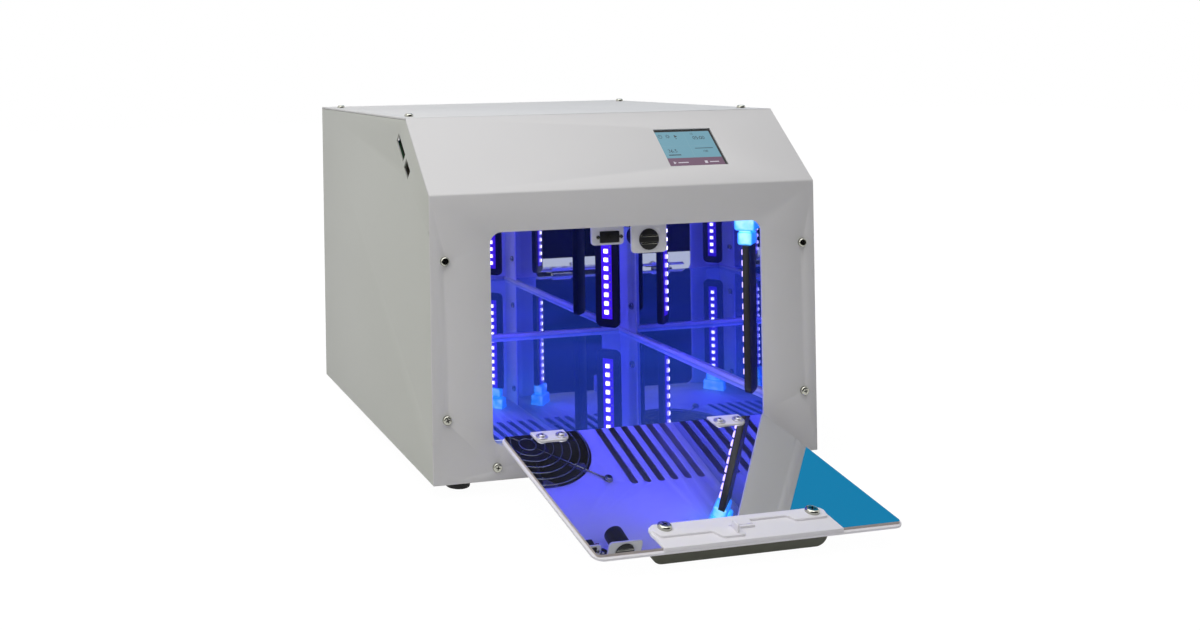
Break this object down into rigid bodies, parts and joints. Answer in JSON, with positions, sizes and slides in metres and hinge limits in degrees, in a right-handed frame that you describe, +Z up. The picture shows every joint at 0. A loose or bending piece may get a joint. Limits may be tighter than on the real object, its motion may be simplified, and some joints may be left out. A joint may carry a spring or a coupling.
{
  "type": "light curing unit",
  "caption": "Bench-top light curing unit: folded sheet metal cabinet with a mirrored chamber, upright light bars, a ceiling fan, a sloping fascia with a display and a fold-down mirrored door.",
  "frame": {"origin": "bottom centre of the bounding box, with the door folded down, on the table surface under the feet", "axes": "+Z up, the front with the door faces -Y, +X is to the right as seen from the front"},
  "size_m": [0.36, 0.5612, 0.3183],
  "materials": {
    "white_paint": "satin powder coat",
    "grey_paint": "satin powder coat",
    "white_trim": "satin powder coat",
    "mirror_panel": "polished",
    "steel": "polished",
    "zinc": "plain",
    "black_metal": "black anodised",
    "led_strip": "glossy",
    "cap_plastic": "translucent",
    "black_plastic": "matt",
    "display_glass": "glossy",
    "circuit_board": "satin",
    "brass_parts": "plain",
    "wire_sheath": "matt",
    "foot_rubber": "matt"
  },
  "bodies": {
    "root": {"base_pan": "grey_paint", "left_side_panel": "grey_paint", "right_side_panel": "grey_paint", "front_hood": "white_paint", "rear_panel": "grey_paint", "floor_deck": "grey_paint", "chamber_ceiling": "white_trim", "chamber_back_wall": "white_trim", "corner_posts": "white_trim", "mirror_floor": "mirror_panel", "mirror_left": "mirror_panel", "mirror_right": "mirror_panel", "mirror_back": "mirror_panel", "floor_trim": "white_trim", "led_bar_front_left": "black_metal", "led_bar_front_right": "black_metal", "led_bar_rear_left": "black_metal", "led_bar_rear_right": "black_metal", "led_strip_front_left": "led_strip", "led_strip_front_right": "led_strip", "led_strip_rear_left": "led_strip", "led_strip_rear_right": "led_strip", "bar_cap_front_left": "cap_plastic", "bar_cap_front_right": "cap_plastic", "bar_cap_rear_left": "cap_plastic", "bar_cap_rear_right": "cap_plastic", "chamber_screws": "steel", "fan_frame": "black_plastic", "fan_guard": "steel", "display_module": "display_glass", "controller_board": "circuit_board", "data_socket": "zinc", "card_socket": "zinc", "board_standoffs": "brass_parts", "power_supply": "zinc", "led_driver": "circuit_board", "mains_inlet": "black_plastic", "power_switch": "black_plastic", "catch_bracket": "white_trim", "magnetic_catch": "black_plastic", "switch_bracket": "white_trim", "door_switch": "black_plastic", "switch_wires": "wire_sheath", "hinge_body_leaves": "zinc", "casing_screws": "steel", "rear_screws": "steel", "feet": "foot_rubber", "foot_screws": "steel", "hinge_pins": "steel"},
    "door": {"door_panel": "white_paint", "door_mirror": "mirror_panel", "hinge_plates": "white_trim", "hinge_door_leaves": "zinc", "hinge_screws": "steel", "latch_plate": "white_trim", "door_handle": "white_paint", "handle_screws": "steel"},
    "impeller": {"fan_impeller": "black_plastic"},
    "rocker": {"power_rocker": "black_plastic"},
    "plunger": {"switch_plunger": "black_plastic"}
  },
  "joints": [
    {"name": "door_hinge", "type": "hinge", "parent": "root", "child": "door", "pos_m": [0, -0.10428, 0.0425], "axis": [-1, 0, 0], "range_deg": [0, 100.42]},
    {"name": "fan_spin", "type": "hinge", "parent": "root", "child": "impeller", "pos_m": [0, 0.08252, 0.2325], "axis": [0, 0, 1], "continuous": true},
    {"name": "power_rocker_tilt", "type": "hinge", "parent": "root", "child": "rocker", "pos_m": [0.058, 0.27122, 0.2705], "axis": [1, 0, 0], "range_deg": [0, 18]},
    {"name": "switch_plunger_travel", "type": "slide", "parent": "root", "child": "plunger", "axis": [0, 1, 0], "range_m": [0, 0.0012], "stiffness_N_per_m": 300, "springref_m": -0.002}
  ]
}
